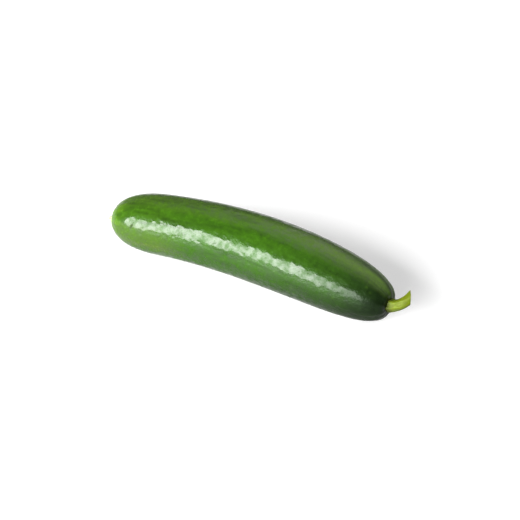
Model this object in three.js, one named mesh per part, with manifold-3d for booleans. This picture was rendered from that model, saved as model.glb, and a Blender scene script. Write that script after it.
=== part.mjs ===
// A smooth, short cucumber, as picked, lying on its side on a flat surface.
// Millimetres and degrees, +Z up. +X runs from the blossom end to the stem end, and in plan the
// fruit bows towards +Y, so both of its ends point towards -Y. It is three pieces: the fruit, the
// cut stem it hung from, and the dry remnant of the flower. Each of the two small pieces sits in
// a shallow seat in the fruit. The origin is on the surface, under the middle of the whole.
import * as THREE from 'three';
import { mergeVertices } from 'three/addons/utils/BufferGeometryUtils.js';
import Module from 'manifold-3d';

const wasm = await Module();
wasm.setup();

// The gap between a small piece and its seat in the fruit.
const CLEARANCE = 0.3;

// Fruit: its straight length from pole to pole and the radius that its body is drawn from.
const FRUIT_LENGTH = 163;
const FRUIT_RADIUS = 18.9;
// The blossom end rounds off over its cap, and the whole fruit narrows to the stem end. A
// fullness of 2 is an ellipse, and more is blunter.
const BLOSSOM_CAP = 28;
const BLOSSOM_FULLNESS = 2.35;
const STEM_TAPER = 170;
const STEM_FULLNESS = 3.1;
// The body is this much thicker at the stem end than at the middle before it narrows, as a share.
const SWELL = 0.175;
// How far the middle of the centre line stands from the straight line between the poles: an even
// bow, and a lean that bends the blossom end more.
const BOW = 8.7;
const LEAN = 1.7;
// The centre line sinks by this much from the middle to each pole.
const SAG = 3.4;
// The three seed chambers show as broad lobes, this much proud of a round section.
const LOBES = 3;
const LOBE_HEIGHT = 0.22;
const LOBE_TURN = 20;
// The underside is pressed flat to this depth where the fruit lies on the surface.
const REST_DEPTH = 0.35;

// Stem: a ribbed stalk that flares where it joins the fruit, curves upwards and ends in a
// slanting cut whose face is upright.
const STEM_RADIUS = 2.6;
const STEM_BASE_RADIUS = 3.4;
const STEM_FLARE = 2.2;
const STEM_LENGTH = 12;
const STEM_ROOT = 2;
const STEM_HEIGHT_ABOVE_POLE = 1.5;
const STEM_RISE_AT_ROOT = 17;
const STEM_RISE_AT_CUT = 43;
const STEM_TURN = 57;
const STEM_CUT_HEADING = 28;
const STEM_RIBS = 5;
const STEM_RIB_HEIGHT = 0.22;

// Blossom scar: a small knob, mostly proud of the fruit.
const SCAR_RADIUS = 2;
const SCAR_HEIGHT = 2.7;
const SCAR_ROOT = 0.9;
const SCAR_FULLNESS = 2.6;

// How finely each form is divided.
const FRUIT_RINGS = 56;
const FRUIT_SIDES = 40;
const STEM_RINGS = 18;
const STEM_SIDES = 20;
const SCAR_RINGS = 6;
const SCAR_SIDES = 16;

const HALF_LENGTH = FRUIT_LENGTH / 2;
const { degToRad, clamp } = THREE.MathUtils;

// Rises from 0 to 1 over a cap's length, along a superellipse.
function capRise(distance, length, fullness) {
  const share = clamp(distance / length, 0, 1);
  return (1 - (1 - share) ** fullness) ** (1 / fullness);
}

// The fruit's radius where t runs from -1 at the blossom pole to 1 at the stem pole.
function fruitRadius(t) {
  const blossomEnd = capRise(HALF_LENGTH * (1 + t), BLOSSOM_CAP, BLOSSOM_FULLNESS);
  const stemEnd = capRise(HALF_LENGTH * (1 - t), STEM_TAPER, STEM_FULLNESS);
  return FRUIT_RADIUS * (1 + SWELL * t) * blossomEnd * stemEnd;
}

// Stations from pole to pole, closer together towards the poles.
function stations(count) {
  return Array.from({ length: count + 1 }, (_, i) => -Math.cos((Math.PI * i) / count));
}

// The body's largest radius is also how high the middle of its centre line lies.
const BODY_RADIUS = Math.max(...stations(FRUIT_RINGS).map(fruitRadius));

// The fruit's centre line.
function centrePoint(t) {
  const bow = BOW * (1 - t ** 2) - LEAN * (t - t ** 3);
  return new THREE.Vector3(HALF_LENGTH * t, bow, BODY_RADIUS - SAG * t ** 2);
}

// The direction of the centre line towards the stem end.
function centreDirection(t) {
  const sideways = -2 * BOW * t - LEAN * (1 - 3 * t ** 2);
  return new THREE.Vector3(HALF_LENGTH, sideways, -2 * SAG * t).normalize();
}

// A point on a path, with two directions across it: one to the right of travel, and one upwards.
function crossFrame(point, direction) {
  const right = direction.clone().cross(new THREE.Vector3(0, 0, 1)).normalize();
  const up = right.clone().cross(direction);
  return { point, right, up };
}

function fruitFrame(station) {
  const t = clamp(station / HALF_LENGTH, -1, 1);
  return crossFrame(centrePoint(t), centreDirection(t));
}

// Ridges or lobes around a section: a wave of the given height, which fades with the radius.
function ridged(count, height, turn, fullRadius) {
  return (angle, radius) => {
    const fade = Math.min(radius / fullRadius, 1);
    return radius + height * fade * Math.cos(count * (angle - degToRad(turn)));
  };
}

// A solid turned from a profile that starts and ends on the axis, then laid along a path: height
// becomes the station on the path, and each radius is first shaped by the section.
function turnedAlong(profile, sides, frameAt, section) {
  const turned = new THREE.LatheGeometry(profile, sides);
  turned.deleteAttribute('normal');
  turned.deleteAttribute('uv');
  const geometry = mergeVertices(turned);
  const position = geometry.getAttribute('position');
  for (let i = 0; i < position.count; i += 1) {
    const across = new THREE.Vector2(position.getX(i), position.getZ(i));
    const radius = section(across.angle(), across.length());
    const { point, right, up } = frameAt(position.getY(i));
    across.setLength(radius);
    point.addScaledVector(right, across.x).addScaledVector(up, across.y);
    position.setXYZ(i, point.x, point.y, point.z);
  }
  return geometry;
}

// A closed geometry as a solid, without the empty triangles at the poles of a turned form.
function solid(geometry) {
  const merged = mergeVertices(geometry);
  const corners = merged.index.array;
  const kept = [];
  for (let i = 0; i < corners.length; i += 3) {
    const [a, b, c] = corners.slice(i, i + 3);
    if (a !== b && b !== c && c !== a) {
      kept.push(a, b, c);
    }
  }
  const vertProperties = new Float32Array(merged.getAttribute('position').array);
  const triVerts = new Uint32Array(kept);
  return new wasm.Manifold(new wasm.Mesh({ numProp: 3, vertProperties, triVerts }));
}

// A block, placed by its middle and turned about the upright.
function block(size, middle, heading) {
  const geometry = new THREE.BoxGeometry(size, size, size);
  geometry.deleteAttribute('normal');
  geometry.deleteAttribute('uv');
  geometry.rotateZ(degToRad(heading));
  geometry.translate(middle.x, middle.y, middle.z);
  return solid(geometry);
}

function mesh(name, shape, material) {
  const { vertProperties, triVerts } = shape.getMesh();
  const geometry = new THREE.BufferGeometry();
  geometry.setAttribute('position', new THREE.BufferAttribute(vertProperties, 3));
  geometry.setIndex(new THREE.BufferAttribute(triVerts, 1));
  geometry.computeVertexNormals();
  const made = new THREE.Mesh(geometry, material);
  made.name = name;
  return made;
}

// The whole fruit, before its seats are cut.
function fruitBody() {
  const profile = stations(FRUIT_RINGS).map((t) => new THREE.Vector2(fruitRadius(t), HALF_LENGTH * t));
  const section = ridged(LOBES, LOBE_HEIGHT, LOBE_TURN, BODY_RADIUS);
  return solid(turnedAlong(profile, FRUIT_SIDES, fruitFrame, section));
}

// A direction from its heading in plan and its rise above the level.
function direction(heading, rise) {
  const level = Math.cos(degToRad(rise));
  const x = level * Math.cos(degToRad(heading));
  const y = level * Math.sin(degToRad(heading));
  return new THREE.Vector3(x, y, Math.sin(degToRad(rise)));
}

// The stem's centre line, from the skin of the fruit to the middle of the cut.
function stemCurve() {
  const end = centreDirection(1);
  const endHeading = THREE.MathUtils.radToDeg(Math.atan2(end.y, end.x));
  const start = centrePoint(1).add(new THREE.Vector3(0, 0, STEM_HEIGHT_ABOVE_POLE));
  const half = STEM_LENGTH / 2;
  const bend = start.clone().addScaledVector(direction(endHeading, STEM_RISE_AT_ROOT), half);
  const tip = bend.clone().addScaledVector(direction(endHeading + STEM_TURN, STEM_RISE_AT_CUT), half);
  return new THREE.QuadraticBezierCurve3(start, bend, tip);
}

// Past either end of the curve the stem runs on straight.
function stemFrame(curve, length, station) {
  const share = clamp(station / length, 0, 1);
  const heading = curve.getTangentAt(share);
  const point = curve.getPointAt(share).addScaledVector(heading, station - share * length);
  return crossFrame(point, heading);
}

// The stem as far as its uncut end, or with grow above 0 the seat that takes it.
function stemBody(grow) {
  const curve = stemCurve();
  const length = curve.getLength();
  const first = -STEM_ROOT - grow;
  const last = length + 2 * STEM_BASE_RADIUS;
  const radiusAt = (station) => {
    const flare = Math.exp(-Math.max(station, 0) / STEM_FLARE);
    return STEM_RADIUS + (STEM_BASE_RADIUS - STEM_RADIUS) * flare + grow;
  };
  const profile = [new THREE.Vector2(0, first)];
  for (let i = 0; i <= STEM_RINGS; i += 1) {
    const station = THREE.MathUtils.lerp(first, last, i / STEM_RINGS);
    profile.push(new THREE.Vector2(radiusAt(station), station));
  }
  profile.push(new THREE.Vector2(0, last));
  const frameAt = (station) => stemFrame(curve, length, station);
  const section = ridged(STEM_RIBS, STEM_RIB_HEIGHT, 0, STEM_RADIUS);
  return solid(turnedAlong(profile, STEM_SIDES, frameAt, section));
}

// The stem, cut across by an upright plane through the end of its curve.
function stemPiece() {
  const tip = stemCurve().getPoint(1);
  const size = 4 * (STEM_LENGTH + STEM_BASE_RADIUS);
  const middle = tip.addScaledVector(direction(STEM_CUT_HEADING, 0), size / 2);
  return stemBody(0).subtract(block(size, middle, STEM_CUT_HEADING));
}

// The scar, a dome on a short straight root, or with grow above 0 the seat that takes it.
function scarBody(grow) {
  const radius = SCAR_RADIUS + grow;
  const height = SCAR_HEIGHT + grow;
  const root = -SCAR_ROOT - grow;
  const profile = [new THREE.Vector2(0, root), new THREE.Vector2(radius, root)];
  for (let i = 0; i <= SCAR_RINGS; i += 1) {
    const station = height * Math.sin((Math.PI / 2) * (i / SCAR_RINGS));
    const share = (1 - (station / height) ** SCAR_FULLNESS) ** (1 / SCAR_FULLNESS);
    profile.push(new THREE.Vector2(radius * share, station));
  }
  const outward = centreDirection(-1).negate();
  const pole = centrePoint(-1);
  const frameAt = (station) => crossFrame(pole.clone().addScaledVector(outward, station), outward);
  return solid(turnedAlong(profile, SCAR_SIDES, frameAt, (angle, across) => across));
}

// The fruit with its two seats and the flat that it lies on.
function fruitPiece() {
  const size = 2 * FRUIT_LENGTH;
  const below = new THREE.Vector3(0, 0, REST_DEPTH - size / 2);
  return fruitBody()
    .subtract(stemBody(CLEARANCE))
    .subtract(scarBody(CLEARANCE))
    .subtract(block(size, below, 0));
}

const skin = new THREE.MeshStandardMaterial({ color: 0x3f6b1c, roughness: 0.38, metalness: 0 });
const stalk = new THREE.MeshStandardMaterial({ color: 0x9db43c, roughness: 0.55, metalness: 0 });
const cork = new THREE.MeshStandardMaterial({ color: 0xb3b183, roughness: 0.85, metalness: 0 });

const cucumber = new THREE.Group();
cucumber.add(mesh('fruit', fruitPiece(), skin));
cucumber.add(mesh('stem', stemPiece(), stalk));
cucumber.add(mesh('blossom_scar', scarBody(0), cork));

// Stands the whole on the surface, with the origin under its middle.
const extent = new THREE.Box3().setFromObject(cucumber);
const middle = extent.getCenter(new THREE.Vector3());
cucumber.position.set(-middle.x, -middle.y, -extent.min.z);

export default cucumber;
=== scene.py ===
import math

import bpy
import numpy as np
from bpy.props import FloatProperty, FloatVectorProperty, IntProperty, PointerProperty
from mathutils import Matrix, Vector


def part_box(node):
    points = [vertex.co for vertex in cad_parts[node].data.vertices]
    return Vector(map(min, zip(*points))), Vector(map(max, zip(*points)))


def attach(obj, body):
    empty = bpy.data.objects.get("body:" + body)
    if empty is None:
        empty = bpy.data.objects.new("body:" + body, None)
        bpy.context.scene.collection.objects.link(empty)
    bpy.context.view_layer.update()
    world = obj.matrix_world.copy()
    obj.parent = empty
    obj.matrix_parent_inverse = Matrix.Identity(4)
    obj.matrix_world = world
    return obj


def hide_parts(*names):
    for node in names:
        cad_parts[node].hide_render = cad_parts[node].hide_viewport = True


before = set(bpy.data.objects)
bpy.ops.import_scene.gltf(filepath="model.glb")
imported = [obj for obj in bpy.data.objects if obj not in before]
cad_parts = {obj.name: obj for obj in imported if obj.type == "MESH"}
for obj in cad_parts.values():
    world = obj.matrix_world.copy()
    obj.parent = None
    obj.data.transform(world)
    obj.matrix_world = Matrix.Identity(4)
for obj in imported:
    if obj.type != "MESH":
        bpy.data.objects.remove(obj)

# A short, smooth cucumber lying on its side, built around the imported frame: the fruit with its
# skin, the cut stem and the dry remnant of the flower, on a plain studio floor. Lengths are in
# metres, +X runs from the blossom end to the stem end, and the fruit bows towards +Y.

bl_info = {
    "name": "Cucumber",
    "version": (1, 0, 0),
    "blender": (4, 5, 0),
    "location": "View3D > Sidebar > Cucumber",
    "description": "Builds a short smooth cucumber with its stem and flower remnant",
    "category": "Add Mesh",
}

MM = 0.001
ROOT_BODY = "root"
UPWARDS = np.array([0.0, 0.0, 1.0])

# How finely each piece is divided: rings along it and sides around it.
FRUIT_RINGS, FRUIT_SIDES = 430, 224
STEM_RINGS, STEM_SIDES = 110, 120
CUT_RINGS = 26
SCAR_RINGS, SCAR_SIDES = 48, 96
OUTLINE_POINTS = 4000

# The shortest waves of the skin's broad waves and of its dimples, along the fruit and across it.
BROAD_WAVES = (14 * MM, 5 * MM, 5 * MM)
DIMPLES = (3.4 * MM, 1.8 * MM, 1.8 * MM)
# How far the skin sinks at the stem's foot, stands up in the collar around it, and sinks at the
# flower's remnant, and how wide that last dip is.
FOOT_SINK, COLLAR_RISE = 0.7 * MM, 0.25 * MM
REMNANT_SINK, REMNANT_REACH = 0.45 * MM, 3.2 * MM
# Heights on the cut face: its hollow, its rounded rim, its core, the bundles and the knife's strokes.
HOLLOW, RIM, CORE, BUNDLES, STROKES = 0.3 * MM, 0.12 * MM, 0.16 * MM, 0.05 * MM, 0.02 * MM
# The knob's pit, the height of its parts and of its roughness, and how many puckers and parts.
PIT, PART_HEIGHT, ROUGH_HEIGHT = 0.55 * MM, 0.16 * MM, 0.05 * MM
PUCKERS, PARTS = 9, 3
# Half the floor's width, and how far it lies under the fruit.
FLOOR_HALF, FLOOR_DROP = 1.6, 0.05 * MM

# Dark olive at the stalk's foot, where it leaves the fruit, and the drying rim of the cut.
OLIVE = (0.020, 0.030, 0.004)
BROWN = (0.130, 0.105, 0.035)
# The bottom of a nick in the skin, and the depth in mm from which a nick shows fully.
BRUISE = (0.030, 0.050, 0.012)
FULL_NICK = 0.16

# Small marks on the skin: place along the fruit from its middle in mm, angle around it in
# degrees from the front, length, width and depth in mm, and turn from lengthwise in degrees.
SCUFFS = (
    (-64.4, 24, 3.4, 0.95, 0.22, 62),
    (-49.0, 27, 3.2, 0.60, 0.06, 75),
    (-36.1, 22, 4.0, 0.50, 0.12, 8),
    (-12.9, 26, 2.8, 0.55, 0.12, 24),
    (37.2, 31, 1.1, 0.70, 0.12, 0),
    (41.9, 34, 1.3, 0.60, 0.10, 30),
    (8.0, 150, 5.0, 0.45, 0.08, 12),
    (-30.0, 205, 3.4, 0.50, 0.10, 40),
)


# ---------------------------------------------------------------------------------------------
# Sizes and colours
# ---------------------------------------------------------------------------------------------

def length_property(name, millimetres, description):
    """A length, given in millimetres."""
    return FloatProperty(
        name=name, description=description, default=millimetres * MM, min=0.0,
        unit="LENGTH", subtype="DISTANCE", precision=5,
    )


def angle_property(name, degrees, description):
    """An angle, given in degrees."""
    return FloatProperty(
        name=name, description=description, default=math.radians(degrees),
        unit="ROTATION", subtype="ANGLE",
    )


def colour_property(name, colour, description):
    """A colour, as linear red, green and blue."""
    return FloatVectorProperty(
        name=name, description=description, default=colour, size=3, min=0.0, max=1.0,
        subtype="COLOR",
    )


def share_property(name, share, description):
    """A share between 0 and 1."""
    return FloatProperty(
        name=name, description=description, default=share, min=0.0, max=1.0, subtype="FACTOR",
    )


def number_property(name, value, description):
    """A plain number."""
    return FloatProperty(name=name, description=description, default=value)


def count_property(name, count, description):
    """A whole number of things."""
    return IntProperty(name=name, description=description, default=count, min=0)


class FruitSettings(bpy.types.PropertyGroup):
    """Sizes and colours of the fruit."""

    length: length_property("Length", 163, "Straight length from pole to pole")
    radius: length_property("Radius", 18.9, "Radius that the body is drawn from")
    blossom_cap: length_property("Blossom cap", 28, "Length over which the blossom end rounds off")
    blossom_fullness: number_property("Blossom fullness", 2.35, "2 is an ellipse, and more is blunter")
    stem_taper: length_property("Stem taper", 170, "Length over which it narrows to the stem end")
    stem_fullness: number_property("Stem fullness", 3.1, "2 is an ellipse, and more is blunter")
    swell: share_property("Swell", 0.175, "Growth of the body from its middle to the stem end")
    bow: length_property("Bow", 8.7, "Bow of the centre line between the poles")
    lean: length_property("Lean", 1.7, "Extra bend of the blossom end")
    sag: length_property("Sag", 3.4, "Drop of the centre line from the middle to each pole")
    lobes: count_property("Lobes", 3, "Broad lobes over the seed chambers")
    lobe_height: length_property("Lobe height", 0.22, "Height of a lobe over a round section")
    lobe_turn: angle_property("Lobe turn", 20, "Angle of the first lobe from the front")
    ridges: count_property("Ridges", 10, "Faint ridges along the fruit")
    ridge_height: length_property("Ridge height", 0.045, "Height of a ridge")
    wave_height: length_property("Wave height", 0.03, "Height of the broad waves in the skin")
    dimple_height: length_property("Dimple height", 0.022, "Height of the small dimples")
    warts: count_property("Warts", 150, "Small raised dots on the skin")
    wart_height: length_property("Wart height", 0.07, "Height of a dot")
    tip_colour: colour_property("Tip", (0.0937, 0.2053, 0.008), "Skin at the blossom end")
    pale_colour: colour_property("Shoulder", (0.0296, 0.086, 0.003), "Skin past the blossom end")
    body_colour: colour_property("Body", (0.0238, 0.0762, 0.0024), "Skin over the body")
    late_colour: colour_property("Late body", (0.0142, 0.0439, 0.0023), "Skin towards the stem")
    # Painted light: a paler olive along the top, in place of light from above and its sheen.
    top_light_colour: colour_property("Sunny side", (0.0619, 0.1205, 0.0105), "Skin along the top")
    # Painted sheen: a pale patch low on the front of the blossom end, in place of a broad dim reflection
    # under the highlight.
    front_sheen_colour: colour_property("Belly", (0.064, 0.112, 0.011), "Pale patch low on the front")
    deep_colour: colour_property("Stem end", (0.0036, 0.0095, 0.0017), "Skin at the stem end")


class StemSettings(bpy.types.PropertyGroup):
    """Sizes and colours of the cut stem."""

    radius: length_property("Radius", 2.6, "Radius of the stalk")
    base_radius: length_property("Base radius", 3.4, "Radius where it joins the fruit")
    flare: length_property("Flare", 2.2, "Length over which the base flares")
    length: length_property("Length", 12, "Length along its curve to the middle of the cut")
    root: length_property("Root", 2, "Depth to which it sits in the fruit")
    height_above_pole: length_property("Height above pole", 1.5, "Height of its start")
    rise_at_root: angle_property("Rise at root", 17, "Slope upwards where it starts")
    rise_at_cut: angle_property("Rise at cut", 43, "Slope upwards at the cut")
    turn: angle_property("Turn", 57, "Turn in plan from the fruit's own heading")
    cut_heading: angle_property("Cut heading", 28, "Direction in plan that the cut faces")
    ribs: count_property("Ribs", 5, "Ribs along the stalk")
    rib_height: length_property("Rib height", 0.34, "Height of a rib")
    bright_colour: colour_property("Stalk", (0.128, 0.168, 0.0065), "Skin of the stalk")
    shade_colour: colour_property("Grooves", (0.056, 0.076, 0.0035), "Grooves of the stalk")
    cut_colour: colour_property("Cut", (0.2016, 0.2419, 0.0739), "Fresh face of the cut")


class ScarSettings(bpy.types.PropertyGroup):
    """Sizes and colours of the flower remnant."""

    radius: length_property("Radius", 2.0, "Radius of the knob")
    height: length_property("Height", 2.7, "Height of the knob over the pole")
    root: length_property("Root", 0.9, "Depth to which it sits in the fruit")
    colour: colour_property("Cork", (0.620, 0.660, 0.400), "Dry cork")
    # Painted shade: the darker colour of the knob's creases and pit, also used for its random mottling.
    crease_shade_colour: colour_property("Creases", (0.300, 0.300, 0.130), "Creases in the cork")


class StageSettings(bpy.types.PropertyGroup):
    """Floor, light and camera."""

    floor_colour: colour_property("Floor", (0.93, 0.93, 0.93), "Plain pale floor")
    backdrop: number_property("Backdrop", 1.0, "Brightness of the surroundings as seen")
    floor_bounce: share_property(
        "Floor bounce", 0.6, "Share of the floor's light that it throws on the fruit")
    floor_lift: share_property(
        "Floor lift", 0.13, "Brightness that softens the shadows on the floor as seen")
    surround: number_property("Surround", 0.15, "Brightness of the white surroundings")
    window_brightness: number_property("Window", 16.0, "Brightness of the window's face")
    window_distance: length_property("Window distance", 3000, "Distance of the window")
    window_width: length_property("Window width", 3450, "Width of the window")
    window_height: length_property("Window height", 1900, "Height of the window")
    window_azimuth: angle_property("Window azimuth", -22, "Direction of the window in plan")
    window_rise: angle_property("Window rise", 19, "Height of the window's middle")
    window_spread: angle_property("Window spread", 180, "Angle over which the window shines")
    glow_brightness: number_property("Glow", 0.48, "Brightness of the glow overhead")
    glow_distance: length_property("Glow distance", 3000, "Distance of the glow")
    glow_width: length_property("Glow width", 6600, "Width of the glow")
    glow_height: length_property("Glow height", 6600, "Height of the glow")
    glow_azimuth: angle_property("Glow azimuth", 155, "Direction of the glow in plan")
    glow_rise: angle_property("Glow rise", 54, "Height of the glow's middle")
    glow_spread: angle_property("Glow spread", 100, "Angle over which the glow fades out")
    camera_azimuth: angle_property("Camera azimuth", 28.4, "Direction of the camera in plan")
    camera_rise: angle_property("Camera rise", 36, "Height of the camera")
    camera_distance: length_property("Camera distance", 520, "Distance of the camera")
    lens: number_property("Lens", 69.5, "Focal length in mm")
    shift_x: number_property("Shift X", 0.032, "Sideways shift")
    shift_y: number_property("Shift Y", -0.009, "Upward shift")


# ---------------------------------------------------------------------------------------------
# Forms
# ---------------------------------------------------------------------------------------------

def unit(vectors):
    """Each vector divided by its own length."""
    lengths = np.linalg.norm(vectors, axis=-1, keepdims=True)
    return vectors / np.maximum(lengths, 1e-12)


def heading_vector(heading, rise):
    """The unit vector with the given heading in plan and rise above the level, in radians."""
    level = math.cos(rise)
    return np.array([level * math.cos(heading), level * math.sin(heading), math.sin(rise)])


def across(direction):
    """Two unit vectors across a direction: right is direction x up, and the other right x direction."""
    right = unit(np.cross(direction, UPWARDS))
    return right, np.cross(right, direction)


def cap_rise(distance, length, fullness):
    """Rises from 0 to 1 over length: (1 - (1 - share)^fullness)^(1 / fullness)."""
    share = np.clip(distance / length, 0.0, 1.0)
    return (1.0 - (1.0 - share) ** fullness) ** (1.0 / fullness)


def ripples(place, wavelengths, seed, count=48):
    """Smooth random waves of height about 1: a sum of cosines with random directions and phases.

    place holds points, and wavelengths the shortest wavelength along each of its axes.
    """
    rng = np.random.default_rng(seed)
    total = np.zeros(place.shape[:-1])
    for _ in range(count):
        wave = unit(rng.normal(size=3)) * rng.uniform(0.5, 1.0) * 2 * np.pi / np.array(wavelengths)
        total += np.cos(place @ wave + rng.uniform(0, 2 * np.pi))
    return total * math.sqrt(2.0 / count)


def fruit_radius(fruit, t):
    """Radius at t, from -1 at the blossom pole to 1 at the stem pole.

    radius x (1 + swell t) x the blossom cap's rise x the stem taper's rise.
    """
    half = fruit.length / 2
    blossom_end = cap_rise(half * (1 + t), fruit.blossom_cap, fruit.blossom_fullness)
    stem_end = cap_rise(half * (1 - t), fruit.stem_taper, fruit.stem_fullness)
    return fruit.radius * (1 + fruit.swell * t) * blossom_end * stem_end


def body_radius(fruit):
    """The largest radius of the fruit."""
    return float(fruit_radius(fruit, np.linspace(-1, 1, OUTLINE_POINTS)).max())


def centre_line(fruit, t):
    """Points and directions of the centre line at t.

    x is half the length x t, y is bow (1 - t^2) - lean (t - t^3), and z is the body's radius less
    sag t^2.
    """
    half = fruit.length / 2
    bow = fruit.bow * (1 - t**2) - fruit.lean * (t - t**3)
    points = np.stack([half * t, bow, body_radius(fruit) - fruit.sag * t**2], axis=-1)
    slope = -2 * fruit.bow * t - fruit.lean * (1 - 3 * t**2)
    directions = unit(np.stack([half + 0 * t, slope, -2 * fruit.sag * t], axis=-1))
    return points, directions


def even_stations(fruit, count):
    """Values of t between the poles, evenly spaced along the outline of the fruit."""
    t = -np.cos(np.linspace(0, np.pi, OUTLINE_POINTS))
    steps = np.hypot(np.diff(t) * fruit.length / 2, np.diff(fruit_radius(fruit, t)))
    run = np.concatenate([[0.0], np.cumsum(steps)])
    return np.interp(np.linspace(0, run[-1], count + 2)[1:-1], run, t)


def plain_fruit(fruit, t, angle):
    """Points of the fruit without its fine relief, on a grid of stations t and angles.

    The section's radius is radius(t) plus lobe_height x cos(lobes (angle - lobe_turn)), which
    fades with the radius, laid across the centre line.
    """
    centres, directions = centre_line(fruit, t)
    right, up = across(directions)
    radius = fruit_radius(fruit, t)[:, None]
    lobe = np.cos(fruit.lobes * (angle - fruit.lobe_turn))[None, :]
    radius = radius + fruit.lobe_height * radius / body_radius(fruit) * lobe
    spokes = right[:, None] * np.cos(angle)[None, :, None] + up[:, None] * np.sin(angle)[None, :, None]
    return centres[:, None] + radius[..., None] * spokes, radius


def step_to_frame(fruit):
    """The step from the fruit's own axes to the frame, which lays its box on the CAD fruit's."""
    angle = np.linspace(0, 2 * np.pi, FRUIT_SIDES, endpoint=False)
    own, _ = plain_fruit(fruit, even_stations(fruit, FRUIT_RINGS), angle)
    low, high = own.min(axis=(0, 1)), own.max(axis=(0, 1))
    cad_low, cad_high = (np.array(corner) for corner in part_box("fruit"))
    step = (cad_low + cad_high - low - high) / 2
    step[2] = cad_high[2] - high[2]
    return step


def grid_normals(points):
    """Outward normals of a grid that is closed around its second axis: the cross product of the
    steps along the piece and around it."""
    along = np.gradient(points, axis=0)
    around = np.roll(points, -1, axis=1) - np.roll(points, 1, axis=1)
    return unit(np.cross(along, around))


# ---------------------------------------------------------------------------------------------
# Meshes
# ---------------------------------------------------------------------------------------------

def ring_faces(rings, sides):
    """Four-cornered faces between neighbouring rings, and the triangles at the two poles.

    Ring i and side j have the number i x sides + j, and the poles follow the last ring.
    """
    i, j = np.meshgrid(np.arange(rings - 1), np.arange(sides), indexing="ij")
    k = (j + 1) % sides
    quads = np.stack([i * sides + j, (i + 1) * sides + j, (i + 1) * sides + k, i * sides + k], -1)
    side = np.arange(sides)
    following = (side + 1) % sides
    first_pole = np.full(sides, rings * sides)
    last_ring = (rings - 1) * sides
    start = np.stack([first_pole, side, following], -1)
    end = np.stack([first_pole + 1, last_ring + following, last_ring + side], -1)
    return quads.reshape(-1, 4), np.concatenate([start, end])


def closed_mesh(name, points, poles, attributes):
    """An object from a grid of rings with a pole at each end, with attributes on its points.

    attributes maps a name to a grid of numbers or vectors and its two values at the poles.
    """
    rings, sides = points.shape[:2]
    quads, triangles = ring_faces(rings, sides)
    mesh = bpy.data.meshes.new(name)
    corners = np.concatenate([points.reshape(-1, 3), np.asarray(poles)])
    mesh.from_pydata(corners.tolist(), [], quads.tolist() + triangles.tolist())
    for label, (grid, ends) in attributes.items():
        width = 3 if grid.ndim == 3 else 1
        kind, field = ("FLOAT_VECTOR", "vector") if width == 3 else ("FLOAT", "value")
        values = np.concatenate([grid.reshape(-1, width), np.reshape(ends, (2, width))])
        layer = mesh.attributes.new(label, kind, "POINT")
        layer.data.foreach_set(field, values.astype(np.float32).ravel())
    mesh.polygons.foreach_set("use_smooth", np.ones(len(mesh.polygons), bool))
    mesh.update()
    piece = bpy.data.objects.new(name, mesh)
    bpy.context.scene.collection.objects.link(piece)
    return piece


def declare(piece, node):
    """Puts a piece in the place of its CAD node, on the one body."""
    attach(piece, ROOT_BODY)
    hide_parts(node)


# ---------------------------------------------------------------------------------------------
# Skin of the fruit
# ---------------------------------------------------------------------------------------------

def wart_field(fruit, place, angle_grid, radius):
    """Small raised dots, scattered at random: the sum of exp(-(distance / size)^2)."""
    rng = np.random.default_rng(11)
    half = fruit.length / 2
    field = np.zeros(radius.shape)
    for _ in range(fruit.warts):
        station, turn = rng.uniform(-0.93, 0.9) * half, rng.uniform(0, 2 * np.pi)
        size, height = rng.uniform(0.45, 0.75) * MM, rng.uniform(0.4, 1.0)
        sideways = np.angle(np.exp(1j * (angle_grid - turn))) * radius
        field += height * np.exp(-((place[..., 0] - station) ** 2 + sideways**2) / size**2)
    return field


def scuff_field(place, angle_grid, radius):
    """Scratches and nicks: for each one, exp(-(along / length)^4 - (sideways / width)^2)."""
    marks, depth = np.zeros(radius.shape), np.zeros(radius.shape)
    for station, turn, length, width, deep, slant in SCUFFS:
        forwards = place[..., 0] - station * MM
        sideways = np.angle(np.exp(1j * (angle_grid - math.radians(turn)))) * radius
        cos, sin = math.cos(math.radians(slant)), math.sin(math.radians(slant))
        along = (forwards * cos + sideways * sin) / (length / 2 * MM)
        beside = (sideways * cos - forwards * sin) / (width / 2 * MM)
        mark = np.exp(-(along**4) - beside**2)
        marks += mark * deep / FULL_NICK
        depth += mark * deep * MM
    return np.clip(marks, 0, 1), depth


def skin_relief(fruit, stem, points, place, angle, radius):
    """Height of the skin over the plain form, and the fields of warts and scuffs.

    Ridges are cos(ridges x angle), stronger towards the poles. Broad waves, small dimples and
    warts lie on them. Around the stem's foot the skin sinks, then rises in a low collar, and it
    sinks a little around the flower's remnant.
    """
    full = body_radius(fruit)
    fade = np.clip(radius / (0.5 * full), 0, 1)
    angle_grid = np.broadcast_to(angle[None, :], radius.shape)
    wander = 0.35 * ripples(place, (70 * MM, 30 * MM, 30 * MM), 3)
    to_stem = fruit.length / 2 - place[..., 0]
    to_blossom = fruit.length / 2 + place[..., 0]
    ends = 1 + 1.8 * np.exp(-to_stem / (12 * MM)) + 0.8 * np.exp(-to_blossom / (12 * MM))
    height = fruit.ridge_height * np.cos(fruit.ridges * angle_grid + wander) * ends * fade
    height += fruit.wave_height * ripples(place, BROAD_WAVES, 5, 64)
    height += fruit.dimple_height * ripples(place, DIMPLES, 7, 96)
    warts = wart_field(fruit, place, angle_grid, radius)
    marks, depth = scuff_field(place, angle_grid, radius)
    height += fruit.wart_height * warts - depth
    foot = centre_line(fruit, np.array([1.0]))[0][0] + UPWARDS * stem.height_above_pole
    from_foot = np.linalg.norm(points - foot, axis=-1) / stem.base_radius
    height -= FOOT_SINK * np.exp(-((from_foot / 1.3) ** 2))
    height += COLLAR_RISE * np.exp(-(((from_foot - 1.75) / 0.5) ** 2))
    pole = centre_line(fruit, np.array([-1.0]))[0][0]
    from_pole = np.linalg.norm(points - pole, axis=-1)
    height -= REMNANT_SINK * np.exp(-((from_pole / REMNANT_REACH) ** 2))
    return height, warts, marks


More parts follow.
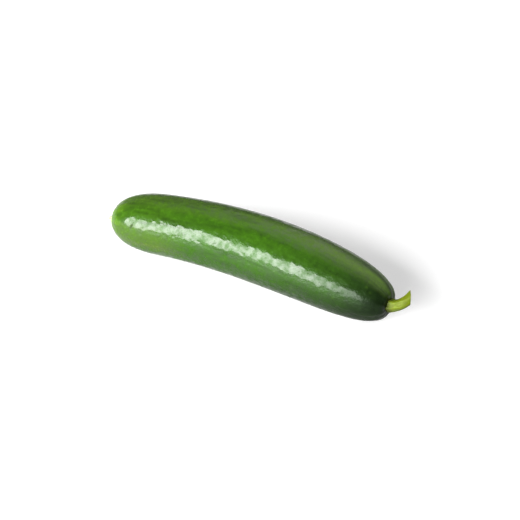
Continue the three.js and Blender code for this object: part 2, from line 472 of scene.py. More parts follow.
def fruit_mesh(fruit, stem):
    """The fruit's whole skin, pressed flat where it lies on the floor."""
    t = even_stations(fruit, FRUIT_RINGS)
    angle = np.linspace(0, 2 * np.pi, FRUIT_SIDES, endpoint=False)
    points, radius = plain_fruit(fruit, t, angle)
    turn = np.stack([np.cos(angle), np.sin(angle)], axis=-1)[None]
    station = np.broadcast_to((t * fruit.length / 2)[:, None, None], (*radius.shape, 1))
    place = np.concatenate([station, radius[..., None] * turn], axis=-1)
    ring = np.concatenate([station / MM, np.broadcast_to(turn, (*radius.shape, 2))], axis=-1)
    height, warts, marks = skin_relief(fruit, stem, points, place, angle, radius)
    points = points + height[..., None] * grid_normals(points)
    pole_points, pole_directions = centre_line(fruit, np.array([-1.0, 1.0]))
    pole_height = np.array([-height[0].mean(), height[-1].mean()])
    poles = pole_points + pole_height[:, None] * pole_directions
    step = step_to_frame(fruit)
    points, poles = points + step, poles + step
    points[..., 2] = np.maximum(points[..., 2], 0.0)
    ends = np.array([[-1.0, 0, 0], [1.0, 0, 0]]) * fruit.length / 2 / MM
    attributes = {
        "along": (np.broadcast_to((t[:, None] + 1) / 2, radius.shape), (0.0, 1.0)),
        "place": (place / MM, ends),
        "ring": (ring, ends),
        "wart": (np.clip(warts, 0, 1), (0.0, 0.0)),
        "scuff": (marks, (0.0, 0.0)),
    }
    return closed_mesh("cucumber_fruit", points, poles, attributes)


# ---------------------------------------------------------------------------------------------
# Stem
# ---------------------------------------------------------------------------------------------

def stem_line(fruit, stem, stations):
    """Points and directions along the stem, which is a quadratic curve from the pole.

    Between its ends a point is (1 - s)^2 start + 2 s (1 - s) bend + s^2 tip, at s found from the
    length run, and past either end the line goes on straight.
    """
    pole, end_direction = (row[0] for row in centre_line(fruit, np.array([1.0])))
    heading = math.atan2(end_direction[1], end_direction[0])
    start = pole + UPWARDS * stem.height_above_pole
    bend = start + heading_vector(heading, stem.rise_at_root) * stem.length / 2
    tip = bend + heading_vector(heading + stem.turn, stem.rise_at_cut) * stem.length / 2

    def curve(s):
        s = s[..., None]
        return (1 - s) ** 2 * start + 2 * s * (1 - s) * bend + s**2 * tip

    table = np.linspace(0, 1, 400)
    run = np.linalg.norm(np.diff(curve(table), axis=0), axis=1)
    run = np.concatenate([[0.0], np.cumsum(run)])
    length = run[-1]
    within = np.clip(stations, 0, length)
    s = np.interp(within, run, table)
    directions = unit((1 - s)[..., None] * (bend - start) + s[..., None] * (tip - bend))
    return curve(s) + directions * (stations - within)[..., None], directions, length


def stem_radius(stem, stations, length, angle):
    """Radius of the stalk, which flares at its foot, under its ribs.

    radius + (base - radius) e^(-station / flare), plus ribs of height
    rib_height ((1 + cos(ribs angle)) / 2)^1.5 that stand out more at the foot, and fine fibres.
    """
    flare = np.exp(-np.maximum(stations, 0) / stem.flare)
    radius = stem.radius + (stem.base_radius - stem.radius) * flare
    twist = angle + 0.25 * stations / length
    ribs = ((1 + np.cos(stem.ribs * twist)) / 2) ** 1.5 - 0.4
    fibres = np.cos(23 * twist + 1.3) + 0.7 * np.cos(37 * twist)
    return radius + stem.rib_height * ribs * (1 + 0.8 * flare) + 0.03 * MM * fibres


def stem_mesh(fruit, stem):
    """The stalk's side, from its foot inside the fruit to the rim of the cut, and the cut face."""
    angle = np.linspace(0, 2 * np.pi, STEM_SIDES, endpoint=False)
    length = stem_line(fruit, stem, np.zeros(1))[2]
    tip, tip_direction = (row[0] for row in stem_line(fruit, stem, np.array([length]))[:2])
    right, up = across(tip_direction)
    spokes = right * np.cos(angle)[:, None] + up * np.sin(angle)[:, None]
    cut_way = heading_vector(stem.cut_heading, 0.0)
    rim_radius = stem_radius(stem, np.full(STEM_SIDES, length), length, angle)
    lean = (spokes @ cut_way) / (tip_direction @ cut_way)
    last = length - rim_radius * lean
    share = 1 - (1 - np.linspace(0, 1, STEM_RINGS)) ** 1.35
    stations = -stem.root + (last[None, :] + stem.root) * share[:, None]
    centres, directions, _ = stem_line(fruit, stem, stations)
    right, up = across(directions)
    radius = stem_radius(stem, stations, length, angle[None, :])
    place = np.stack([stations, radius * np.cos(angle), radius * np.sin(angle)], axis=-1)
    radius = radius + 0.05 * MM * ripples(place, (5 * MM, 1.6 * MM, 1.6 * MM), 21)
    side = centres + radius[..., None] * (
        right * np.cos(angle)[None, :, None] + up * np.sin(angle)[None, :, None])
    gap = (side[-1] - tip) @ cut_way
    side[-1] -= directions[-1] * (gap / (directions[-1] @ cut_way))[:, None]
    face, face_place = cut_face(stem, side[-1], tip, cut_way, angle)
    foot = centres[0].mean(axis=0)
    middle = face[-1].mean(axis=0)
    points = np.concatenate([side, face])
    place = np.concatenate([place / MM, face_place])
    on_cut = np.concatenate([np.zeros(side.shape[:2]), np.ones(face.shape[:2])])
    inwards = np.concatenate([np.zeros(side.shape[:2]), face_place[..., 0]])
    step = step_to_frame(fruit)
    ends = np.array([[-stem.root / MM, 0, 0], [1.0, 0, 0]])
    attributes = {
        "place": (place, ends),
        "along": (np.concatenate([stations / length, np.ones(face.shape[:2])]), (0.0, 1.0)),
        "inwards": (inwards, (0.0, 1.0)),
    }
    piece = closed_mesh("cucumber_stem", points + step, [foot + step, middle + step], attributes)
    faces_of_cut = np.concatenate([
        np.repeat(on_cut[1:, 0] > 0.5, STEM_SIDES),
        np.zeros(STEM_SIDES, bool),
        np.ones(STEM_SIDES, bool),
    ])
    piece.data.polygons.foreach_set("material_index", faces_of_cut.astype(np.int32))
    return piece


def cut_face(stem, rim, middle, cut_way, angle):
    """Rings from the rim of the cut to its middle, and where each lies on the face.

    A ring is middle + (rim - middle) k, with k falling from 1 to 0. Off the plane it is rounded at
    the rim, sinks towards the middle and is cut in fine parallel strokes.
    """
    k = np.concatenate([[0.992, 0.975], np.linspace(0.95, 0.04, CUT_RINGS - 2)])
    rings = middle + (rim - middle)[None] * k[:, None, None]
    upright = rings @ UPWARDS
    strokes = STROKES * np.sin(upright / (0.33 * MM) + 2 * np.cos(angle)[None, :])
    core = -CORE * np.exp(-((k / 0.16) ** 2))[:, None]
    bundles = BUNDLES * np.exp(-(((k - 0.62) / 0.09) ** 2))[:, None]
    bundles = bundles * np.cos(2 * stem.ribs * angle)[None, :]
    hollow = -HOLLOW * (1 - k**2)[:, None]
    rounded = RIM * np.exp(-(((1 - k) / 0.05) ** 2))[:, None]
    relief = hollow + rounded + core + bundles + strokes
    rings = rings + relief[..., None] * cut_way
    flat = np.broadcast_to((1 - k)[:, None], relief.shape)
    spread = k[:, None] * np.cos(angle)[None, :], k[:, None] * np.sin(angle)[None, :]
    return rings, np.stack([flat, *spread], axis=-1)


# ---------------------------------------------------------------------------------------------
# Blossom scar
# ---------------------------------------------------------------------------------------------

def scar_mesh(fruit, scar):
    """The knob left by the flower: a dome with puckered sides and a pitted, three-part top.

    For w from 0 at the foot to 1 at the top, the radius is radius (1 - w^2.6)^(1 / 2.6) and the
    height is height w. Puckers are cos(9 angle) waves, and the top sinks in a small pit.
    """
    angle = np.linspace(0, 2 * np.pi, SCAR_SIDES, endpoint=False)
    w = np.sin(np.linspace(0, 0.97, SCAR_RINGS - 2) * np.pi / 2)
    foot = np.array([-scar.root, -scar.root * 0.5])
    height = np.concatenate([foot, scar.height * w])[:, None]
    radius = np.concatenate([np.ones(2), (1 - w**2.6) ** (1 / 2.6)])[:, None] * scar.radius
    rise = np.clip(height / scar.height, 0, 1)
    place = np.stack(np.broadcast_arrays(
        height, radius * np.cos(angle), radius * np.sin(angle)), axis=-1)
    rough = ripples(place, (1.3 * MM, 1.0 * MM, 1.0 * MM), 31)
    pucker = np.cos(PUCKERS * angle[None, :] + 1.5 * ripples(place, (3 * MM,) * 3, 33))
    radius = radius * (1 + 0.07 * pucker * (1 - rise) + 0.03 * rough)
    pit = PIT * np.exp(-((radius / PIT) ** 2)) * rise**2
    parts = PART_HEIGHT * np.cos(PARTS * angle)[None, :] * np.clip(radius / scar.radius, 0, 1) * rise**2
    height = height - pit + parts + ROUGH_HEIGHT * rough * rise
    pole, direction = (row[0] for row in centre_line(fruit, np.array([-1.0])))
    outward = -direction
    right, up = across(outward)
    spokes = right * np.cos(angle)[:, None] + up * np.sin(angle)[:, None]
    points = pole + height[..., None] * outward + radius[..., None] * spokes[None]
    poles = np.stack([pole - scar.root * outward, points[-1].mean(axis=0)])
    step = step_to_frame(fruit)
    # Painted shade: high in the puckers' troughs and in the pit, with a little of the roughness.
    creases = np.clip(-pucker * (1 - rise) + 1.4 * pit / PIT + 0.2 * rough, 0, 1)
    attributes = {
        "place": (place / MM, np.zeros((2, 3))),
        "crease": (creases, (0.0, 1.0)),
    }
    return closed_mesh("cucumber_blossom_scar", points + step, poles + step, attributes)


# ---------------------------------------------------------------------------------------------
# Materials
# ---------------------------------------------------------------------------------------------

def set_inputs(tree, node, inputs):
    """Links the inputs of a node or shader from sockets, or sets them to values."""
    for name, value in inputs.items():
        if isinstance(value, bpy.types.NodeSocket):
            tree.links.new(value, node.inputs[name])
        else:
            node.inputs[name].default_value = value


def add_node(tree, kind, inputs=None, **settings):
    """A node with its settings, and its inputs linked from sockets or set to values."""
    node = tree.nodes.new(kind)
    for name, value in settings.items():
        setattr(node, name, value)
    set_inputs(tree, node, inputs or {})
    return node


def calculate(tree, operation, first, second, third=0.0, clamp=False):
    """The output of a Math node."""
    node = add_node(
        tree, "ShaderNodeMath", {0: first, 1: second, 2: third}, operation=operation,
        use_clamp=clamp)
    return node.outputs["Value"]


def remap(tree, value, low, high, new_low, new_high):
    """The output of a Map Range node, held within its new range."""
    node = add_node(tree, "ShaderNodeMapRange", {
        "Value": value, "From Min": low, "From Max": high, "To Min": new_low, "To Max": new_high})
    return node.outputs["Result"]


MIX_FACTOR, MIX_FIRST, MIX_SECOND, MIX_RESULT = 0, 6, 7, 2


def mix_colours(tree, factor, first, second, blend="MIX"):
    """The colour output of a Mix node. Colours are sockets or three numbers."""
    def full(colour):
        return colour if isinstance(colour, bpy.types.NodeSocket) else (*colour, 1.0)
    node = add_node(
        tree, "ShaderNodeMix",
        {MIX_FACTOR: factor, MIX_FIRST: full(first), MIX_SECOND: full(second)},
        data_type="RGBA", blend_type=blend)
    return node.outputs[MIX_RESULT]


def attribute(tree, name, output="Fac"):
    """A value that the piece's mesh carries on its points."""
    return add_node(tree, "ShaderNodeAttribute", attribute_name=name).outputs[output]


def noise(tree, vector, scale, detail=3.0, roughness=0.55):
    """Soft noise from 0 to 1, with scale as the patches to each unit of the vector."""
    node = add_node(tree, "ShaderNodeTexNoise", {
        "Vector": vector, "Scale": scale, "Detail": detail, "Roughness": roughness})
    return node.outputs["Fac"]


def new_group(name, inputs, outputs):
    """An empty shader node group with float and vector inputs and float outputs."""
    tree = bpy.data.node_groups.new(name, "ShaderNodeTree")
    for label, kind, default in inputs:
        socket = tree.interface.new_socket(label, in_out="INPUT", socket_type=kind)
        if default is not None:
            socket.default_value = default
    for label in outputs:
        tree.interface.new_socket(label, in_out="OUTPUT", socket_type="NodeSocketFloat")
    return tree, tree.nodes.new("NodeGroupInput").outputs, tree.nodes.new("NodeGroupOutput").inputs


def streak_group():
    """Lengthwise streaks: noise stretched along the piece, with soft and fine streaks in one."""
    tree, given, result = new_group("Lengthwise streaks", [
        ("Ring", "NodeSocketVector", None),
        ("Stretch", "NodeSocketFloat", 0.01),
        ("Contrast", "NodeSocketFloat", 1.0),
    ], ["Streaks"])
    scale = add_node(tree, "ShaderNodeCombineXYZ", {"X": given["Stretch"], "Y": 1.0, "Z": 1.0})
    shaped = add_node(tree, "ShaderNodeVectorMath", {
        0: given["Ring"], 1: scale.outputs["Vector"]}, operation="MULTIPLY").outputs["Vector"]
    broad = noise(tree, shaped, 2.6, 2.0)
    fine = noise(tree, shaped, 9.0, 3.0, 0.6)
    total = calculate(tree, "MULTIPLY_ADD", fine, 0.45, broad)
    centred = calculate(tree, "SUBTRACT", total, 0.725)
    spread = calculate(tree, "MULTIPLY_ADD", centred, given["Contrast"], 0.5, clamp=True)
    tree.links.new(spread, result["Streaks"])
    return tree


def speck_group():
    """Small pale dots: one round dot in some of the cells of a cell pattern."""
    tree, given, result = new_group("Specks", [
        ("Place", "NodeSocketVector", None),
        ("Cells per mm", "NodeSocketFloat", 0.4),
        ("Size", "NodeSocketFloat", 0.15),
        ("Share", "NodeSocketFloat", 0.4),
    ], ["Specks"])
    cells = add_node(tree, "ShaderNodeTexVoronoi", {
        "Vector": given["Place"], "Scale": given["Cells per mm"]})
    colour = add_node(tree, "ShaderNodeSeparateColor", {"Color": cells.outputs["Color"]})
    chosen = calculate(tree, "LESS_THAN", colour.outputs["Red"], given["Share"])
    size = calculate(tree, "MULTIPLY", given["Size"], remap(tree, colour.outputs["Green"], 0, 1, 0.5, 1))
    edge = calculate(tree, "MULTIPLY", size, 0.4)
    inside = remap(tree, cells.outputs["Distance"], edge, size, 1.0, 0.0)
    tree.links.new(calculate(tree, "MULTIPLY", inside, chosen), result["Specks"])
    return tree


def grain_group():
    """Fine unevenness of a plant's skin: cells and noise of three sizes in one height."""
    tree, given, result = new_group("Skin grain", [
        ("Place", "NodeSocketVector", None),
        ("Per mm", "NodeSocketFloat", 1.0),
    ], ["Height", "Mottle"])
    coarse = noise(tree, given["Place"], calculate(tree, "MULTIPLY", given["Per mm"], 0.35), 3.0)
    medium = noise(tree, given["Place"], given["Per mm"], 2.0)
    fine = noise(tree, given["Place"], calculate(tree, "MULTIPLY", given["Per mm"], 3.0), 2.0)
    cells = add_node(tree, "ShaderNodeTexVoronoi", {
        "Vector": given["Place"], "Scale": calculate(tree, "MULTIPLY", given["Per mm"], 1.3)},
        feature="SMOOTH_F1")
    height = calculate(tree, "MULTIPLY_ADD", medium, 0.8, cells.outputs["Distance"])
    tree.links.new(calculate(tree, "MULTIPLY_ADD", fine, 0.25, height), result["Height"])
    tree.links.new(coarse, result["Mottle"])
    return tree


def place_group(tree, group, inputs):
    """A group node with its inputs linked or set."""
    return add_node(tree, "ShaderNodeGroup", inputs, node_tree=group).outputs


def new_material(name):
    """A material with one Principled shader, ready for its inputs."""
    material = bpy.data.materials.new(name)
    material.use_nodes = True
    tree = material.node_tree
    shader = tree.nodes["Principled BSDF"]
    return material, tree, shader


def bump(tree, height, strength, distance):
    """The normal of a surface whose height of 1 stands for the distance."""
    node = add_node(tree, "ShaderNodeBump", {
        "Height": height, "Strength": strength, "Distance": distance})
    return node.outputs["Normal"]


def facing(tree, ring, degrees, low, high):
    """1 on the side of the fruit that is at the angle, and 0 away from it. low and high are the
    cosines of the angles off that side where the change ends and begins."""
    side = (0.0, math.cos(math.radians(degrees)), math.sin(math.radians(degrees)))
    turned = add_node(tree, "ShaderNodeVectorMath", {0: ring, 1: side}, operation="DOT_PRODUCT")
    return remap(tree, turned.outputs["Value"], low, high, 0.0, 1.0)


def ramp(tree, value, stops):
    """A colour ramp with (position, colour) stops."""
    node = add_node(tree, "ShaderNodeValToRGB", {"Fac": value})
    elements = node.color_ramp.elements
    while len(elements) < len(stops):
        elements.new(0.5)
    for element, (position, colour) in zip(elements, stops):
        element.position = position
        element.color = (*colour, 1.0)
    return node.outputs["Color"]


def skin_green(tree, fruit, along, ring, streaks, bloom):
    """The green of the skin before its marks.

    It runs from the blossom end to the stem end through a ramp that the streaks shift. Pale
    streaks fade along the fruit and dark ones lie between them. Painted light makes the top more
    olive, a painted sheen lies as a pale patch low on the front of the blossom end, and painted
    shade darkens the side under it.
    """
    tip, pale, deep = tuple(fruit.tip_colour), tuple(fruit.pale_colour), tuple(fruit.deep_colour)
    body, late = tuple(fruit.body_colour), tuple(fruit.late_colour)
    shifted = calculate(tree, "SUBTRACT", along, 0.04)
    wander = calculate(tree, "MULTIPLY_ADD", streaks, 0.08, shifted)
    colour = ramp(tree, wander, [
        (0.0, tip), (0.06, pale), (0.18, pale), (0.34, body), (0.58, body), (0.84, late),
        (0.95, deep)])
    fading = remap(tree, along, 0.0, 0.6, 0.5, 0.16)
    pale_streak = calculate(tree, "MULTIPLY", remap(tree, streaks, 0.5, 0.95, 0, 1), fading)
    colour = mix_colours(tree, pale_streak, colour, pale)
    colour = mix_colours(tree, remap(tree, streaks, 0.45, 0.1, 0.0, 0.4), colour, deep)
    # Painted light: the top is made paler and more olive in place of light from above and its sheen,
    # more so towards the stem end and less at the very end.
    olive = remap(tree, streaks, 0.2, 0.8, 0.35, 0.75)
    painted_top_light = calculate(tree, "MULTIPLY", facing(tree, ring, 112, 0.62, 0.95), olive)
    more = calculate(tree, "MULTIPLY_ADD", bloom, 0.35, 1.0)
    painted_top_light = calculate(tree, "MULTIPLY", painted_top_light, more, clamp=True)
    painted_top_light = calculate(tree, "MULTIPLY", painted_top_light, remap(tree, along, 0.96, 1.0, 1.0, 0.3))
    colour = mix_colours(tree, painted_top_light, colour, tuple(fruit.top_light_colour))
    # Painted sheen: a pale patch low on the front of the blossom end, in place of a broad dim reflection
    # under the highlight strip.
    near_tip = remap(tree, along, 0.2, 0.32, 0.9, 0.0)
    patch = calculate(tree, "MULTIPLY", facing(tree, ring, -2, 0.84, 0.985), near_tip)
    patch = calculate(tree, "MULTIPLY", patch, remap(tree, streaks, 0.2, 0.7, 1.0, 0.45))
    colour = mix_colours(tree, patch, colour, tuple(fruit.front_sheen_colour))
    # Painted shade: the lower front side darkens towards the stem-end colour, more so towards the stem
    # end.
    darker = remap(tree, along, 0.1, 0.9, 0.0, 0.7)
    shaded = calculate(tree, "MULTIPLY", facing(tree, ring, -38, 0.6, 0.95), darker)
    return mix_colours(tree, shaded, colour, deep)


def skin_marks(tree, fruit, groups, place, colour, mottle, scuff):
    """The skin's colour with its mottling, small pale dots and the bottoms of its nicks."""
    light = remap(tree, mottle, 0.3, 0.7, 0.82, 1.2)
    bright = add_node(tree, "ShaderNodeCombineColor", {"Red": light, "Green": light, "Blue": light})
    colour = mix_colours(tree, 1.0, colour, bright.outputs["Color"], "MULTIPLY")
    specks = place_group(tree, groups["specks"], {
        "Place": place, "Cells per mm": 0.42, "Size": 0.13, "Share": 0.3})
    dots = calculate(tree, "MAXIMUM", specks["Specks"], attribute(tree, "wart"))
    colour = mix_colours(tree, calculate(tree, "MULTIPLY", dots, 0.12), colour, tuple(fruit.tip_colour))
    return mix_colours(tree, calculate(tree, "MULTIPLY", scuff, 0.9), colour, BRUISE)


def skin_material(fruit, groups):
    """Waxy skin. A clear coat stands for the wax, which is patchy, is worn off the nicks and
    turns to a dull bloom at the stem end. The skin under it reflects a little greenish."""
    material, tree, shader = new_material("cucumber_skin")
    along, place = attribute(tree, "along"), attribute(tree, "place", "Vector")
    ring, scuff = attribute(tree, "ring", "Vector"), attribute(tree, "scuff")
    streaks = place_group(tree, groups["streaks"], {"Ring": ring, "Stretch": 0.008, "Contrast": 1.9})
    grain = place_group(tree, groups["grain"], {"Place": place, "Per mm": 0.9})
    bloom = remap(tree, along, 0.72, 0.94, 0.0, 1.0)
    green = skin_green(tree, fruit, along, ring, streaks["Streaks"], bloom)
    rough = remap(tree, grain["Mottle"], 0.3, 0.7, 0.20, 0.30)
    rough = calculate(tree, "MULTIPLY_ADD", scuff, 0.3, rough)
    rough = calculate(tree, "MULTIPLY_ADD", bloom, 0.1, rough)
    wax = remap(tree, grain["Mottle"], 0.38, 0.62, 1.0, 0.15)
    wax = calculate(tree, "MULTIPLY", wax, calculate(tree, "MULTIPLY_ADD", bloom, -0.95, 1.0))
    wax = calculate(tree, "MULTIPLY", wax, calculate(tree, "SUBTRACT", 1.0, scuff))
    set_inputs(tree, shader, {
        "Base Color": skin_marks(tree, fruit, groups, place, green, grain["Mottle"], scuff),
        "Roughness": rough,
        "IOR": 1.28,
        "Specular Tint": (0.8, 1.0, 0.78, 1.0),
        "Coat Weight": wax,
        "Coat Roughness": 0.06,
        "Coat IOR": 1.38,
        "Normal": bump(tree, grain["Height"], 0.36, 0.22 * MM),
    })
    return material


def stalk_material(stem, groups):
    """Fibrous stalk: yellow-green on its ribs, darker in the grooves and at the foot."""
    material, tree, shader = new_material("cucumber_stalk")
    along, place = attribute(tree, "along"), attribute(tree, "place", "Vector")
    streaks = place_group(tree, groups["streaks"], {
        "Ring": place, "Stretch": 0.12, "Contrast": 1.6})
    grain = place_group(tree, groups["grain"], {"Place": place, "Per mm": 2.2})
    bright, shade = tuple(stem.bright_colour), tuple(stem.shade_colour)
    colour = mix_colours(tree, remap(tree, streaks["Streaks"], 0.25, 0.8, 0.65, 0.0), bright, shade)
    colour = mix_colours(tree, remap(tree, along, 0.0, 0.3, 0.9, 0.0), colour, shade)
    colour = mix_colours(tree, remap(tree, along, 0.0, 0.12, 0.7, 0.0), colour, OLIVE)
    colour = mix_colours(tree, remap(tree, grain["Mottle"], 0.35, 0.7, 0.0, 0.3), colour, shade)
    set_inputs(tree, shader, {
        "Base Color": colour,
        "Roughness": remap(tree, grain["Mottle"], 0.3, 0.7, 0.3, 0.46),
        "IOR": 1.25,
        "Specular Tint": (0.9, 1.0, 0.6, 1.0),
        "Subsurface Weight": 0.1,
        "Subsurface Scale": 1 * MM,
        "Normal": bump(tree, grain["Height"], 0.5, 0.06 * MM),
    })
    return material


def cut_material(stem, groups):
    """Moist cut face: pale flesh with a ring of darker bundles and a drying, browned rim."""
    material, tree, shader = new_material("cucumber_stem_cut")
    inwards, place = attribute(tree, "inwards"), attribute(tree, "place", "Vector")
    grain = place_group(tree, groups["grain"], {"Place": place, "Per mm": 6.0})
    flesh, green = tuple(stem.cut_colour), tuple(stem.shade_colour)
    colour = ramp(tree, inwards, [
        (0.0, BROWN), (0.05, green), (0.14, flesh), (0.33, green), (0.44, flesh), (0.9, flesh),
        (1.0, green)])
    colour = mix_colours(tree, remap(tree, grain["Mottle"], 0.3, 0.7, 0.0, 0.5), colour, green)
    set_inputs(tree, shader, {
        "Base Color": colour,
        "Roughness": remap(tree, grain["Mottle"], 0.3, 0.7, 0.35, 0.6),
        "Normal": bump(tree, grain["Height"], 0.5, 0.05 * MM),
    })
    return material


def cork_material(scar, groups):
    """Dry cork: pale, rough and darker in its creases, where the darkening is painted shade."""
    material, tree, shader = new_material("cucumber_cork")
    place = attribute(tree, "place", "Vector")
    grain = place_group(tree, groups["grain"], {"Place": place, "Per mm": 4.0})
    cork, crease = tuple(scar.colour), tuple(scar.crease_shade_colour)
    colour = mix_colours(tree, calculate(tree, "MULTIPLY", attribute(tree, "crease"), 0.8), cork, crease)
    colour = mix_colours(tree, remap(tree, grain["Mottle"], 0.4, 0.75, 0.0, 0.5), colour, crease)
    set_inputs(tree, shader, {
        "Base Color": colour,
        "Roughness": remap(tree, grain["Mottle"], 0.3, 0.7, 0.7, 0.9),
        "Normal": bump(tree, grain["Height"], 0.8, 0.08 * MM),
    })
    return material


def floor_material(stage):
    """Matte white board with the faintest unevenness.

    The light that it throws on the fruit is floor_bounce x its colour. The camera sees its whole
    colour, plus floor_lift, which softens the shadows.
    """
    material, tree, shader = new_material("studio_floor")
    place = add_node(tree, "ShaderNodeTexCoord").outputs["Object"]
    rough = remap(tree, noise(tree, place, 30.0), 0.3, 0.7, 0.55, 0.7)
    shown = tuple(stage.floor_colour)
    thrown = tuple(part * stage.floor_bounce for part in shown)
    seen = tree.nodes.new("ShaderNodeLightPath").outputs["Is Camera Ray"]
    lift = (stage.floor_lift,) * 3
    set_inputs(tree, shader, {
        "Base Color": mix_colours(tree, seen, thrown, shown),
        "Roughness": rough,
        "Emission Color": mix_colours(tree, seen, (0.0, 0.0, 0.0), lift),
        "Emission Strength": 1.0,
    })
    return material


def shared_groups():
    """The effects that several materials use, each built once."""
    made = bpy.data.node_groups
    return {
        "streaks": made.get("Lengthwise streaks") or streak_group(),
        "specks": made.get("Specks") or speck_group(),
        "grain": made.get("Skin grain") or grain_group(),
    }


# ---------------------------------------------------------------------------------------------
# Operators
# ---------------------------------------------------------------------------------------------

class CUCUMBER_OT_fruit(bpy.types.Operator):
    """Builds the fruit with its skin in place of the CAD fruit"""

    bl_idname = "cucumber.fruit"
    bl_label = "Grow fruit"

    def execute(self, context):
        scene = context.scene
        piece = fruit_mesh(scene.cucumber_fruit, scene.cucumber_stem)
        piece.data.materials.append(skin_material(scene.cucumber_fruit, shared_groups()))
        declare(piece, "fruit")
        return {"FINISHED"}


class CUCUMBER_OT_stem(bpy.types.Operator):
    """Builds the cut stem in place of the CAD stem"""

    bl_idname = "cucumber.stem"
    bl_label = "Cut stem"

    def execute(self, context):
        scene = context.scene
        piece = stem_mesh(scene.cucumber_fruit, scene.cucumber_stem)
        piece.data.materials.append(stalk_material(scene.cucumber_stem, shared_groups()))
        piece.data.materials.append(cut_material(scene.cucumber_stem, shared_groups()))
        declare(piece, "stem")
        return {"FINISHED"}


class CUCUMBER_OT_blossom_scar(bpy.types.Operator):
    """Builds the dry flower remnant in place of the CAD blossom scar"""

    bl_idname = "cucumber.blossom_scar"
    bl_label = "Leave blossom scar"

    def execute(self, context):
        scene = context.scene
        piece = scar_mesh(scene.cucumber_fruit, scene.cucumber_scar)
        piece.data.materials.append(cork_material(scene.cucumber_scar, shared_groups()))
        declare(piece, "blossom_scar")
        return {"FINISHED"}


class CUCUMBER_OT_stage(bpy.types.Operator):
    """Lays the floor, hangs the window light and sets up the camera"""

    bl_idname = "cucumber.stage"
    bl_label = "Set stage"

    def execute(self, context):
        stage = context.scene.cucumber_stage
        lay_floor(stage)
        light_surroundings(context.scene, stage)
        hang_lamp(stage, "window")
        hang_lamp(stage, "glow")
        set_camera(context.scene, stage)
        return {"FINISHED"}


def lay_floor(stage):
    """A square floor just under the fruit."""
    half, drop = FLOOR_HALF, FLOOR_DROP
    corners = [(-half, -half, -drop), (half, -half, -drop), (half, half, -drop), (-half, half, -drop)]
    mesh = bpy.data.meshes.new("floor")
    mesh.from_pydata(corners, [], [(0, 1, 2, 3)])
    mesh.materials.append(floor_material(stage))
    floor = bpy.data.objects.new("floor", mesh)
    bpy.context.scene.collection.objects.link(floor)


def light_surroundings(scene, stage):
    """Even white surroundings, which look brighter than they shine, and colours shown as they
    are."""
    world = bpy.data.worlds.new("studio")
    world.use_nodes = True
    tree = world.node_tree
    shining, seen = tree.nodes["Background"], tree.nodes.new("ShaderNodeBackground")
    shining.inputs["Strength"].default_value = stage.surround
    seen.inputs["Strength"].default_value = stage.backdrop
    for background in (shining, seen):
        background.inputs["Color"].default_value = (1.0, 1.0, 1.0, 1.0)
    either = add_node(tree, "ShaderNodeMixShader", {
        0: tree.nodes.new("ShaderNodeLightPath").outputs["Is Camera Ray"],
        1: shining.outputs["Background"], 2: seen.outputs["Background"]})
    tree.links.new(either.outputs["Shader"], tree.nodes["World Output"].inputs["Surface"])
    scene.world = world
    scene.view_settings.view_transform = "Standard"


def aim(thing, towards):
    """Turns a light or camera, which looks along its own -Z, to a point."""
    gaze = Vector(towards) - thing.location
    thing.rotation_mode = "QUATERNION"
    thing.rotation_quaternion = gaze.to_track_quat("-Z", "Y")


def around_fruit(fruit, azimuth, rise, distance):
    """The fruit's middle, and a point at a distance from it. Azimuth 0 is in front, on the -Y
    side, and grows towards +X."""
    middle = step_to_frame(fruit) + UPWARDS * body_radius(fruit)
    return middle, middle + distance * heading_vector(azimuth - math.pi / 2, rise)


def hang_lamp(stage, name):
    """A large soft lamp that faces the fruit, from the settings that begin with its name."""
    def of(setting):
        return getattr(stage, name + "_" + setting)
    lamp = bpy.data.lights.new(name, "AREA")
    lamp.shape = "RECTANGLE"
    lamp.size, lamp.size_y = of("width"), of("height")
    lamp.energy = of("brightness") * math.pi * lamp.size * lamp.size_y
    lamp.spread = of("spread")
    holder = bpy.data.objects.new(name, lamp)
    bpy.context.scene.collection.objects.link(holder)
    middle, place = around_fruit(
        bpy.context.scene.cucumber_fruit, of("azimuth"), of("rise"), of("distance"))
    holder.location = place
    aim(holder, middle)


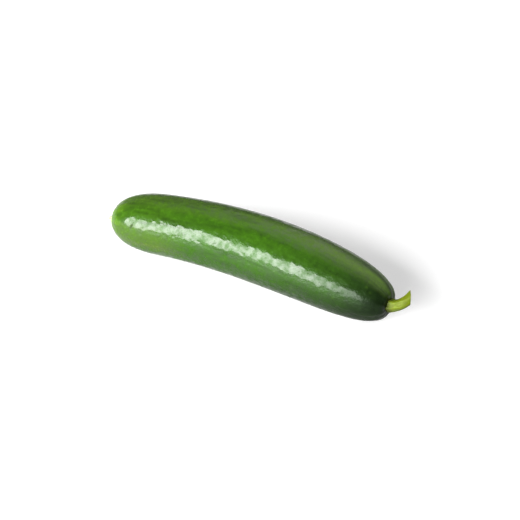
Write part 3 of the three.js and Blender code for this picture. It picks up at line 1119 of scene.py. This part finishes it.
def set_camera(scene, stage):
    """A camera that faces the fruit's middle, with its picture shifted a little."""
    camera = bpy.data.cameras.new("camera")
    camera.lens = stage.lens
    camera.shift_x, camera.shift_y = stage.shift_x, stage.shift_y
    holder = bpy.data.objects.new("camera", camera)
    scene.collection.objects.link(holder)
    middle, place = around_fruit(
        scene.cucumber_fruit, stage.camera_azimuth, stage.camera_rise, stage.camera_distance)
    holder.location = place
    aim(holder, middle)
    scene.camera = holder


# ---------------------------------------------------------------------------------------------
# Panel and registration
# ---------------------------------------------------------------------------------------------

SETTINGS = {
    "cucumber_fruit": FruitSettings,
    "cucumber_stem": StemSettings,
    "cucumber_scar": ScarSettings,
    "cucumber_stage": StageSettings,
}
OPERATORS = (CUCUMBER_OT_fruit, CUCUMBER_OT_stem, CUCUMBER_OT_blossom_scar, CUCUMBER_OT_stage)


class CUCUMBER_PT_sidebar(bpy.types.Panel):
    """Lists the sizes and colours, with a button for each piece"""

    bl_idname = "CUCUMBER_PT_sidebar"
    bl_label = "Cucumber"
    bl_space_type = "VIEW_3D"
    bl_region_type = "UI"
    bl_category = "Cucumber"

    def draw(self, context):
        for (name, settings), operator in zip(SETTINGS.items(), OPERATORS):
            box = self.layout.box()
            for label in settings.__annotations__:
                box.prop(getattr(context.scene, name), label)
            box.operator(operator.bl_idname)


def register():
    for name, settings in SETTINGS.items():
        bpy.utils.register_class(settings)
        setattr(bpy.types.Scene, name, PointerProperty(type=settings))
    for operator in OPERATORS:
        bpy.utils.register_class(operator)
    bpy.utils.register_class(CUCUMBER_PT_sidebar)


def unregister():
    bpy.utils.unregister_class(CUCUMBER_PT_sidebar)
    for operator in reversed(OPERATORS):
        bpy.utils.unregister_class(operator)
    for name, settings in reversed(SETTINGS.items()):
        delattr(bpy.types.Scene, name)
        bpy.utils.unregister_class(settings)


def main():
    """Builds every piece and the stage."""
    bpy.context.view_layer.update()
    register()
    bpy.ops.cucumber.fruit()
    bpy.ops.cucumber.stem()
    bpy.ops.cucumber.blossom_scar()
    bpy.ops.cucumber.stage()


if __name__ == "__main__":
    main()
